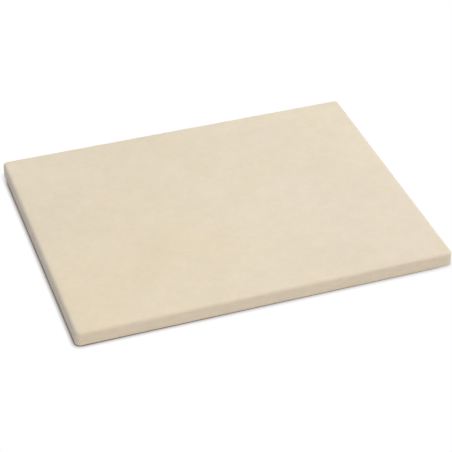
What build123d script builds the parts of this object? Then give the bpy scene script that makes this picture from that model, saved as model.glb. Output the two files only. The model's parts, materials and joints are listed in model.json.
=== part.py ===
from build123d import *
import os

# Rectangular pizza stone: one solid slab of pressed and fired cordierite ceramic.
# It has no handles, feet, frame or coating. The slab lies flat on a rack, a grill or a worktop, and
# the food bakes on its upper face. The upright corners are rounded in the press, and both rims are
# softened: the upper one by hand with a sponge, and the lower one only a little, in the die.
#
# Frame: millimetres, +Z up. The origin is the middle of the resting face, +X runs along the long
# side and +Y runs from the front long side to the back one.

# Driving dimensions of the slab.
stone_length = 380.0
stone_depth = 300.0
stone_thickness = 16.0

# Upright corners, seen from above.
corner_radius = 5.0

# Rims where the flat faces turn into the sides.
upper_rim_radius = 3.5
lower_rim_radius = 1.5


def make_stone_slab():
    """The whole stone: a rounded rectangle, raised to its thickness, with both rims rounded over."""
    outline = RectangleRounded(stone_length, stone_depth, corner_radius)
    slab = extrude(outline, amount=stone_thickness)
    rims = slab.edges().filter_by_position(Axis.Z, 0, 0)
    slab = fillet(rims, lower_rim_radius)
    rims = slab.edges().group_by(Axis.Z)[-1]
    return fillet(rims, upper_rim_radius)


os.makedirs("parts", exist_ok=True)
export_step(make_stone_slab(), "parts/stone_slab.step")
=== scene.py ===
import json
import math

import bmesh
import bpy
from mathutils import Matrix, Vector


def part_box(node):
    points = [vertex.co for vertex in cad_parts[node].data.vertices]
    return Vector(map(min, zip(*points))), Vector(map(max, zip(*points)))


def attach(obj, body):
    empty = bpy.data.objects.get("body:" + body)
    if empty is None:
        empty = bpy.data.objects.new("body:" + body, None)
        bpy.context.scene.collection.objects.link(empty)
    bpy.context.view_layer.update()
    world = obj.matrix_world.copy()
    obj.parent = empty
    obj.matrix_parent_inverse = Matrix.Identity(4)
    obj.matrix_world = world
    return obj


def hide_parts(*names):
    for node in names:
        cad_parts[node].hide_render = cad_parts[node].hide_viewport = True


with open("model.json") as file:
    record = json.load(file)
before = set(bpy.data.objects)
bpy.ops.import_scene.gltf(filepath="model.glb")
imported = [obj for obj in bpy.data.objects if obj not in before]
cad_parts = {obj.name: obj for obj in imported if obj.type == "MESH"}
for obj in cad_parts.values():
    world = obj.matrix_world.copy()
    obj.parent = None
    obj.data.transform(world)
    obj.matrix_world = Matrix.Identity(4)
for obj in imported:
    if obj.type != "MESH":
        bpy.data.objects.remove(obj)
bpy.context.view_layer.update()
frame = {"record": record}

# Baking stone: one slab of cordierite powder, pressed in a steel die and fired. The die rounds its
# upright corners and softens its lower rim, and a wet sponge rounds the upper rim over by hand.
# The block is shaped first, then meshed finely, so that the hand finish is in the form itself.
stone_low, stone_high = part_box("stone_slab")
stone_size = stone_high - stone_low
corner_radius = 0.005
corner_steps = 8
upper_rim_radius = 0.0035
upper_rim_steps = 6
lower_rim_radius = 0.0015
lower_rim_steps = 3
wall_rows = 6
coarse_columns = 4
mesh_pitch = 0.0018
closeness = 0.00001
upright_axis = 2

bpy.ops.object.select_all(action="DESELECT")
bpy.ops.mesh.primitive_cube_add(size=1, location=(stone_low + stone_high) / 2)
stone = bpy.context.active_object
stone.name = "baking_stone"
stone.scale = stone_size
bpy.ops.object.transform_apply(location=True, rotation=False, scale=True)


def pick(kind, wanted):
    """Selects just the wanted edges or faces of the stone."""
    body = bmesh.from_edit_mesh(stone.data)
    for face in body.faces:
        face.select_set(False)
    for edge in body.edges:
        edge.select_set(False)
    for part in getattr(body, kind):
        if wanted(part):
            part.select_set(True)
    body.select_flush_mode()
    bmesh.update_edit_mesh(stone.data)


def runs_along(edge, axis, least):
    """True if the edge is at least that long, and lies along that axis."""
    span = edge.verts[1].co - edge.verts[0].co
    return abs(span[axis]) > least and abs(span[axis]) > span.length - closeness


def at_height(edge, height):
    """True if both ends of the edge are at that height."""
    return all(abs(point.co.z - height) < closeness for point in edge.verts)


bpy.ops.object.mode_set(mode="EDIT")
bpy.ops.mesh.select_mode(type="EDGE")
pick("edges", lambda edge: runs_along(edge, upright_axis, stone_size.z / 2))
bpy.ops.mesh.bevel(offset=corner_radius, segments=corner_steps, affect="EDGES")
pick("edges", lambda edge: at_height(edge, stone_high.z))
bpy.ops.mesh.bevel(offset=upper_rim_radius, segments=upper_rim_steps, affect="EDGES")
pick("edges", lambda edge: at_height(edge, stone_low.z))
bpy.ops.mesh.bevel(offset=lower_rim_radius, segments=lower_rim_steps, affect="EDGES")

# Its two broad faces, the only ones with more than four corners, are opened, the walls are cut into
# rows and columns, and each broad face is closed again with a grid that runs from wall to wall. One
# call makes 100 cuts at most, so the columns are cut coarsely first and then finely.
bpy.ops.mesh.select_mode(type="FACE")
pick("faces", lambda face: len(face.verts) > 4)
bpy.ops.mesh.delete(type="ONLY_FACE")
bpy.ops.mesh.select_mode(type="EDGE")
pick("edges", lambda edge: runs_along(edge, upright_axis, stone_size.z / 2))
bpy.ops.mesh.subdivide(number_cuts=wall_rows - 1)
for axis in (0, 1):
    wall_length = stone_size[axis] - 2 * corner_radius
    pick("edges", lambda edge: runs_along(edge, axis, wall_length / 2))
    bpy.ops.mesh.subdivide(number_cuts=coarse_columns - 1)
    fine_columns = round(wall_length / coarse_columns / mesh_pitch)
    pick("edges", lambda edge: runs_along(edge, axis, wall_length / coarse_columns / 2))
    bpy.ops.mesh.subdivide(number_cuts=fine_columns - 1)


def along_the_long_sides(edge, height):
    """True for an open edge at that height which is nearer to the front or back than to the ends."""
    middle = (edge.verts[0].co + edge.verts[1].co) / 2
    to_end = stone_size.x / 2 - abs(middle.x)
    to_side = stone_size.y / 2 - abs(middle.y)
    return edge.is_boundary and at_height(edge, height) and to_side < to_end


for height in (stone_low.z, stone_high.z):
    pick("edges", lambda edge: along_the_long_sides(edge, height))
    bpy.ops.mesh.fill_grid()
bpy.ops.mesh.select_all(action="SELECT")
bpy.ops.mesh.normals_make_consistent(inside=False)
bpy.ops.object.mode_set(mode="OBJECT")
bpy.ops.object.shade_smooth()

# Pressing, sponging and firing leave it a hair out of true: long low waves in the baking face,
# shallow hollows in the walls, and an upper rim that the sponge cut back more in some places.
# All of them only cut in, so the stone stays inside the form that the die gave it.
face_waves = 0.00022
face_wave_length = 0.085
wall_waves = 0.00014
wall_wave_length = 0.04
sponge_cut = 0.0005
sponge_stroke = 0.022
sponge_reach = 0.007
wave_octaves = 2


def smooth_step(value):
    """Rises smoothly from 0 to 1 while the value goes from 0 to 1."""
    value = min(1, max(0, value))
    return value * value * (3 - 2 * value)


def inset_of(place):
    """How far a place lies inside the stone's outline, seen from above."""
    past_x = abs(place.x) - (stone_size.x / 2 - corner_radius)
    past_y = abs(place.y) - (stone_size.y / 2 - corner_radius)
    if past_x > 0 and past_y > 0:
        return corner_radius - math.hypot(past_x, past_y)
    return corner_radius - max(past_x, past_y)


def on_the_face(place):
    """1 on the baking face, and 0 from where the upper rim meets the wall."""
    return smooth_step(1 - (stone_high.z - place.z) / upper_rim_radius)


def on_the_walls(place):
    """1 half way up the walls, and 0 on the rims and on the broad faces."""
    above = (place.z - stone_low.z - lower_rim_radius) / upper_rim_radius
    below = (stone_high.z - upper_rim_radius - place.z) / upper_rim_radius
    return smooth_step(min(above, below))


def on_the_upper_rim(place):
    """Falls from 1 at the line where face and wall would meet to 0 at the sponge's reach."""
    return smooth_step(1 - math.hypot(inset_of(place), stone_high.z - place.z) / sponge_reach)


for name, weight_at, direction, most, length in (
    ("face_waves", on_the_face, "Z", face_waves, face_wave_length),
    ("wall_waves", on_the_walls, "NORMAL", wall_waves, wall_wave_length),
    ("sponge_cut", on_the_upper_rim, "NORMAL", sponge_cut, sponge_stroke),
):
    group = stone.vertex_groups.new(name=name)
    for point in stone.data.vertices:
        group.add([point.index], weight_at(point.co), "REPLACE")
    waves = bpy.data.textures.new(name, type="CLOUDS")
    waves.noise_scale = length
    waves.noise_depth = wave_octaves
    waving = stone.modifiers.new(name, "DISPLACE")
    waving.texture = waves
    waving.texture_coords = "LOCAL"
    waving.direction = direction
    waving.vertex_group = name
    # The texture runs from 0 to 1, so with its middle at 1 it moves points inwards only.
    waving.mid_level = 1
    waving.strength = most
    bpy.ops.object.modifier_apply(modifier=name)

# Fired cordierite: a cream body of packed grog, with fine tan specks, and pinholes between the grains,
# which are darkened with painted shade in their hollows.
# The baking face is a little warmer towards its left end and paler towards its right, in soft clouds:
# partly its own tone, and partly painted light, as the right end, nearer the lamp, looks paler. The
# walls show faint level streaks from the pressing, and the underside is coarser from the kiln's shelf.
cream = Vector(frame["record"]["materials"][0]["base_color"][:3])
# The pale colour at the right end holds painted light as well as the body's own paler tone.
warm_left_shade = Vector((1.0, 0.975, 0.90))
pale_lit_shade = Vector((1.0, 1.01, 1.07))
wall_shade = Vector((1.018, 1.024, 1.064))
tan_shade = Vector((0.78, 0.68, 0.55))
warm_left_share = 0.38
pale_lit_right_share = 0.73

# Each pattern's size is in metres, and its tone or shade is how far it swings the body's tone or shade.
# A start is the place in the endless noise that the stone's origin lies at.
kiln_cloud_size = 0.2
kiln_cloud_start = (0.34, -1.35, 0.0)
kiln_cloud_octaves = 2
kiln_cloud_tone = 0.091
blush_size = 0.15
blush_start = (1.86, 1.94, 0.0)
blush_octaves = 2
blush_shade = 0.88
iron_cloud_size = 0.022
iron_cloud_octaves = 3
iron_cloud_evenness = 0.7
iron_cloud_shade = 0.9
mottle_size = 0.028
mottle_octaves = 4
mottle_evenness = 0.9
mottle_tone = 0.2
streak_size = 0.0035
streak_stretch = 3.3
streak_octaves = 3
streak_tone = 0.18
grog_size = 0.0011
grog_tone = 0.017
fine_grain_size = 0.00045
fine_grain_tone = 0.014
speck_spacing = 0.0032
speck_share = 0.2
speck_reach = 0.16
speck_strength = 0.6
pinhole_spacing = 0.0021
pinhole_share = 0.15
pinhole_reach = 0.15
# How far the pinholes are darkened: painted shade in their hollows.
pinhole_painted_shade = 0.2
spot_core_share = 0.6

# The wall's finish comes in over the upper rim, and the underside's over the lower one.
wall_starts_share = 0.2
wall_full_share = 0.9
underside_full_share = 0.2

# Relief is in shares of its depth. Roughness runs between two values, with the mottle.
relief_depth = 0.00004
relief_strength = 0.5
grog_relief = 0.5
fine_grain_relief = 0.5
pinhole_relief = 3.0
streak_relief = 1.5
underside_relief = 1.0
mottle_range = (0.3, 0.7)
roughness_range = (0.86, 0.94)
cordierite = bpy.data.materials.new("cordierite")
cordierite.use_nodes = True
tree = cordierite.node_tree
shader = tree.nodes["Principled BSDF"]
place = tree.nodes.new("ShaderNodeTexCoord").outputs["Object"]


def calculate(operation, *values):
    """A Math node on the given numbers and sockets, and its result."""
    node = tree.nodes.new("ShaderNodeMath")
    node.operation = operation
    for socket, value in zip(node.inputs, values):
        if isinstance(value, (int, float)):
            socket.default_value = value
        else:
            tree.links.new(value, socket)
    return node.outputs[0]


def ramp(value, low, high, to_low=0.0, to_high=1.0, course="SMOOTHSTEP"):
    """Takes low and high to the two wanted numbers, smoothly or evenly, and holds them further out."""
    node = tree.nodes.new("ShaderNodeMapRange")
    node.interpolation_type = course
    node.inputs["From Min"].default_value = low
    node.inputs["From Max"].default_value = high
    node.inputs["To Min"].default_value = to_low
    node.inputs["To Max"].default_value = to_high
    tree.links.new(value, node.inputs["Value"])
    return node.outputs["Result"]


def swing(value, strength):
    """Turns a value between 0 and 1 into one that swings that strongly about 0."""
    return calculate("MULTIPLY_ADD", value, strength, -strength / 2)


def clouds(size, octaves, evenness=0.5, stretch=(1, 1, 1), start=(0, 0, 0)):
    """Soft noise between 0 and 1, about as coarse as the size and finer by each further octave."""
    spread = tree.nodes.new("ShaderNodeMapping")
    spread.inputs["Location"].default_value = [part / size for part in start]
    spread.inputs["Scale"].default_value = [part / size for part in stretch]
    tree.links.new(place, spread.inputs["Vector"])
    node = tree.nodes.new("ShaderNodeTexNoise")
    node.inputs["Scale"].default_value = 1
    node.inputs["Detail"].default_value = octaves
    node.inputs["Roughness"].default_value = evenness
    tree.links.new(spread.outputs[0], node.inputs["Vector"])
    return node.outputs["Fac"]


def grains(size):
    """Packed grains of that size: the distance from each grain's middle, and its own number."""
    node = tree.nodes.new("ShaderNodeTexVoronoi")
    node.inputs["Scale"].default_value = 1 / size
    tree.links.new(place, node.inputs["Vector"])
    number = tree.nodes.new("ShaderNodeSeparateColor")
    tree.links.new(node.outputs["Color"], number.inputs[0])
    return node.outputs["Distance"], number.outputs[0]


def spots(spacing, share, reach):
    """Scattered round spots: 1 in the middle of each, and 0 past its reach, a share of the spacing."""
    from_middle, number = grains(spacing)
    chosen = calculate("GREATER_THAN", number, 1 - share)
    return calculate("MULTIPLY", chosen, ramp(from_middle, reach * spot_core_share, reach, 1, 0))


def blend(share, first, second):
    """Mixes two colours."""
    node = tree.nodes.new("ShaderNodeMix")
    node.data_type = "RGBA"
    for name, value in (("Factor", share), ("A", first), ("B", second)):
        if isinstance(value, Vector):
            node.inputs[name].default_value = (*value, 1)
        else:
            tree.links.new(value, node.inputs[name])
    return node.outputs["Result"]


sides = tree.nodes.new("ShaderNodeSeparateXYZ")
tree.links.new(place, sides.inputs[0])
along, height = sides.outputs["X"], sides.outputs["Z"]
wall_full = stone_high.z - wall_full_share * upper_rim_radius
wall_starts = stone_high.z - wall_starts_share * upper_rim_radius
on_wall = ramp(height, wall_full, wall_starts, 1, 0)
underside_full = stone_low.z + underside_full_share * lower_rim_radius
underneath = ramp(height, underside_full, stone_low.z + lower_rim_radius, 1, 0)

kiln_clouds = clouds(kiln_cloud_size, kiln_cloud_octaves, start=kiln_cloud_start)
blush = clouds(blush_size, blush_octaves, start=blush_start)
iron_clouds = clouds(iron_cloud_size, iron_cloud_octaves, evenness=iron_cloud_evenness)
mottle = clouds(mottle_size, mottle_octaves, evenness=mottle_evenness)
streaks = clouds(streak_size, streak_octaves, stretch=(1 / streak_stretch, 1 / streak_stretch, 1))
from_grog, grog = grains(grog_size)
fine_grain = grains(fine_grain_size)[1]
speck = spots(speck_spacing, speck_share, speck_reach)
pinhole = spots(pinhole_spacing, pinhole_share, pinhole_reach)

# Warmer at the left end and paler at the right: partly the body's own tone, partly painted light from
# the lamp's side.
pale_and_lit_share = ramp(along, stone_low.x, stone_high.x, warm_left_share, pale_lit_right_share)
for pattern, strength in ((blush, blush_shade), (iron_clouds, iron_cloud_shade)):
    pale_and_lit_share = calculate("ADD", pale_and_lit_share, swing(pattern, strength))
shade = blend(pale_and_lit_share, cream * warm_left_shade, cream * pale_lit_shade)
shade = blend(on_wall, shade, cream * wall_shade)
shade = blend(calculate("MULTIPLY", speck, speck_strength), shade, cream * tan_shade)

# The pinholes are darkened here: painted shade in their hollows.
tone = calculate("MULTIPLY_ADD", pinhole, -pinhole_painted_shade, 1)
for pattern, strength in (
    (kiln_clouds, kiln_cloud_tone),
    (mottle, mottle_tone),
    (grog, grog_tone),
    (fine_grain, fine_grain_tone),
):
    tone = calculate("ADD", tone, swing(pattern, strength))
tone = calculate("ADD", tone, calculate("MULTIPLY", on_wall, swing(streaks, streak_tone)))
body = tree.nodes.new("ShaderNodeVectorMath")
body.operation = "SCALE"
tree.links.new(shade, body.inputs[0])
tree.links.new(tone, body.inputs["Scale"])
tree.links.new(body.outputs[0], shader.inputs["Base Color"])
tree.links.new(ramp(mottle, *mottle_range, *roughness_range), shader.inputs["Roughness"])

relief = calculate("MULTIPLY", from_grog, -grog_relief)
for pattern, strength in (
    (fine_grain, fine_grain_relief),
    (pinhole, -pinhole_relief),
    (calculate("MULTIPLY", on_wall, streaks), streak_relief),
):
    relief = calculate("MULTIPLY_ADD", pattern, strength, relief)
relief = calculate("MULTIPLY", relief, calculate("MULTIPLY_ADD", underneath, underside_relief, 1))
bump = tree.nodes.new("ShaderNodeBump")
bump.inputs["Strength"].default_value = relief_strength
bump.inputs["Distance"].default_value = relief_depth
tree.links.new(relief, bump.inputs["Height"])
tree.links.new(bump.outputs[0], shader.inputs["Normal"])
stone.data.materials.append(cordierite)

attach(stone, "root")
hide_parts("stone_slab")

# White paper that the stone lies on. The eye sees it as pure white, apart from the stone's own tight
# shadow, which is deeper towards the left and lets up at the two corners that catch light. The paper
# throws plain white light back at the stone's sides.
sweep_size = 12.0
sweep_white = 0.8
pure_white = Vector((1.0, 1.0, 1.0))

# The depths are those at the stone's left and right ends. Close to a lit corner only a share of the
# shadow is left, and further out it comes back in full.
shadow_reach = 0.005
shadow_depths = (1.75, 1.15)
shadow_spread = 0.7
shadow_tint = Vector((0.06, 0.025, 0.0))
shadow_lean = Vector((0.12, -0.06, 1.0))
lit_within = 0.004
dark_beyond = 0.024
lit_corners = (
    ((stone_low.x, stone_high.y, stone_low.z), 0.45),
    ((stone_high.x, stone_low.y, stone_low.z), 0.65),
)
bpy.ops.object.select_all(action="DESELECT")
bpy.ops.mesh.primitive_plane_add(size=sweep_size, location=(0, 0, stone_low.z))
sweep = bpy.context.active_object
sweep.name = "white_sweep"
paper = bpy.data.materials.new("white_paper")
paper.use_nodes = True
tree = paper.node_tree
tree.nodes.clear()


def seen_or_lit(seen, lit):
    """Joins two shaders: the first for what the eye and mirror rays meet, the second for light."""
    rays = tree.nodes.new("ShaderNodeLightPath")
    by_eye = rays.outputs["Is Camera Ray"]
    for name in ("Is Glossy Ray", "Is Transmission Ray"):
        by_eye = calculate("MAXIMUM", by_eye, rays.outputs[name])
    choice = tree.nodes.new("ShaderNodeMixShader")
    tree.links.new(by_eye, choice.inputs["Fac"])
    tree.links.new(lit, choice.inputs[1])
    tree.links.new(seen, choice.inputs[2])
    return choice.outputs[0]


near = tree.nodes.new("ShaderNodeAmbientOcclusion")
near.inputs["Distance"].default_value = shadow_reach
lean = tree.nodes.new("ShaderNodeCombineXYZ")
for socket, part in zip(lean.inputs, shadow_lean.normalized()):
    socket.default_value = part
tree.links.new(lean.outputs[0], near.inputs["Normal"])
on_floor = tree.nodes.new("ShaderNodeTexCoord").outputs["Object"]
across = tree.nodes.new("ShaderNodeSeparateXYZ")
tree.links.new(on_floor, across.inputs[0])
depth = ramp(across.outputs["X"], stone_low.x, stone_high.x, *shadow_depths, course="LINEAR")
for corner, lit_share in lit_corners:
    from_corner = tree.nodes.new("ShaderNodeVectorMath")
    from_corner.operation = "DISTANCE"
    from_corner.inputs[1].default_value = corner
    tree.links.new(on_floor, from_corner.inputs[0])
    let_up = ramp(from_corner.outputs["Value"], lit_within, dark_beyond, lit_share, 1)
    depth = calculate("MULTIPLY", depth, let_up)
shadow = calculate("MULTIPLY_ADD", calculate("SUBTRACT", near.outputs["AO"], 1), depth, 1)
shadow = calculate("POWER", calculate("MAXIMUM", shadow, 0), shadow_spread)
glow = tree.nodes.new("ShaderNodeEmission")
tree.links.new(blend(shadow, shadow_tint, pure_white), glow.inputs["Color"])
matte = tree.nodes.new("ShaderNodeBsdfDiffuse")
matte.inputs["Color"].default_value = (sweep_white, sweep_white, sweep_white, 1)
output = tree.nodes.new("ShaderNodeOutputMaterial")
tree.links.new(seen_or_lit(glow.outputs[0], matte.outputs[0]), output.inputs["Surface"])
sweep.data.materials.append(paper)

# Soft light from the whole room, like a light tent: brightest overhead, and falling off towards each
# wall, by that wall's loss in red, green and blue. The eye sees the room as plain white.
ceiling = (1.17, 1.21, 1.24)
losses = (
    ((1, 0, 0), (1.15, 1.10, 0.94)),
    ((-1, 0, 0), (0.60, 0.60, 0.60)),
    ((0, 1, 0), (0.10, 0.28, 0.47)),
    ((0, -1, 0), (0.44, 0.52, 0.62)),
)
room = bpy.data.worlds.new("light_tent")
bpy.context.scene.world = room
room.use_nodes = True
tree = room.node_tree
tree.nodes.clear()
outwards = tree.nodes.new("ShaderNodeTexCoord").outputs["Generated"]
light = None
for away_from_wall, loss in losses:
    beyond = tree.nodes.new("ShaderNodeVectorMath")
    beyond.operation = "DOT_PRODUCT"
    beyond.inputs[1].default_value = away_from_wall
    tree.links.new(outwards, beyond.inputs[0])
    dimmed = tree.nodes.new("ShaderNodeVectorMath")
    dimmed.operation = "MULTIPLY_ADD"
    dimmed.inputs[1].default_value = loss
    dimmed.inputs[2].default_value = ceiling
    tree.links.new(calculate("MINIMUM", beyond.outputs["Value"], 0), dimmed.inputs[0])
    if light:
        tree.links.new(light, dimmed.inputs[2])
    light = dimmed.outputs["Vector"]
tent = tree.nodes.new("ShaderNodeBackground")
tree.links.new(light, tent.inputs["Color"])
white_room = tree.nodes.new("ShaderNodeBackground")
white_room.inputs["Color"].default_value = (*pure_white, 1)
output = tree.nodes.new("ShaderNodeOutputWorld")
tree.links.new(seen_or_lit(white_room.outputs[0], tent.outputs[0]), output.inputs["Surface"])

# One broad soft lamp, high above and to the right. It shapes the rims a little, and the tent does
# the rest of the lighting.
lamp_place = Vector((0.6, -0.1, 1.8))
lamp_size = 0.9
lamp_power = 12.8
bpy.ops.object.light_add(type="AREA", location=lamp_place)
lamp = bpy.context.active_object
lamp.name = "soft_lamp"
lamp.data.shape = "DISK"
lamp.data.size = lamp_size
lamp.data.energy = lamp_power
lamp.rotation_mode = "QUATERNION"
lamp.rotation_quaternion = (-lamp_place).to_track_quat("-Z", "Y")

# Camera at the viewing angle of the photograph, from the front left and above. Its shift is only the
# few pixels by which the photograph's framing is off its middle.
camera_azimuth = math.radians(-19.129)
camera_elevation = math.radians(35.995)
camera_distance = 1.6525
camera_target = Vector((0.0048, -0.0168, 0.0))
camera_lens = 130.03
camera_shift = -0.0066
camera_back = Vector((
    math.sin(camera_azimuth) * math.cos(camera_elevation),
    -math.cos(camera_azimuth) * math.cos(camera_elevation),
    math.sin(camera_elevation),
))
bpy.ops.object.camera_add(location=camera_target + camera_back * camera_distance)
camera = bpy.context.active_object
camera.name = "camera"
camera.data.lens = camera_lens
camera.data.shift_x = camera_shift
camera.rotation_mode = "QUATERNION"
camera.rotation_quaternion = (-camera_back).to_track_quat("-Z", "Y")
bpy.context.scene.camera = camera
bpy.context.scene.view_settings.view_transform = "Standard"
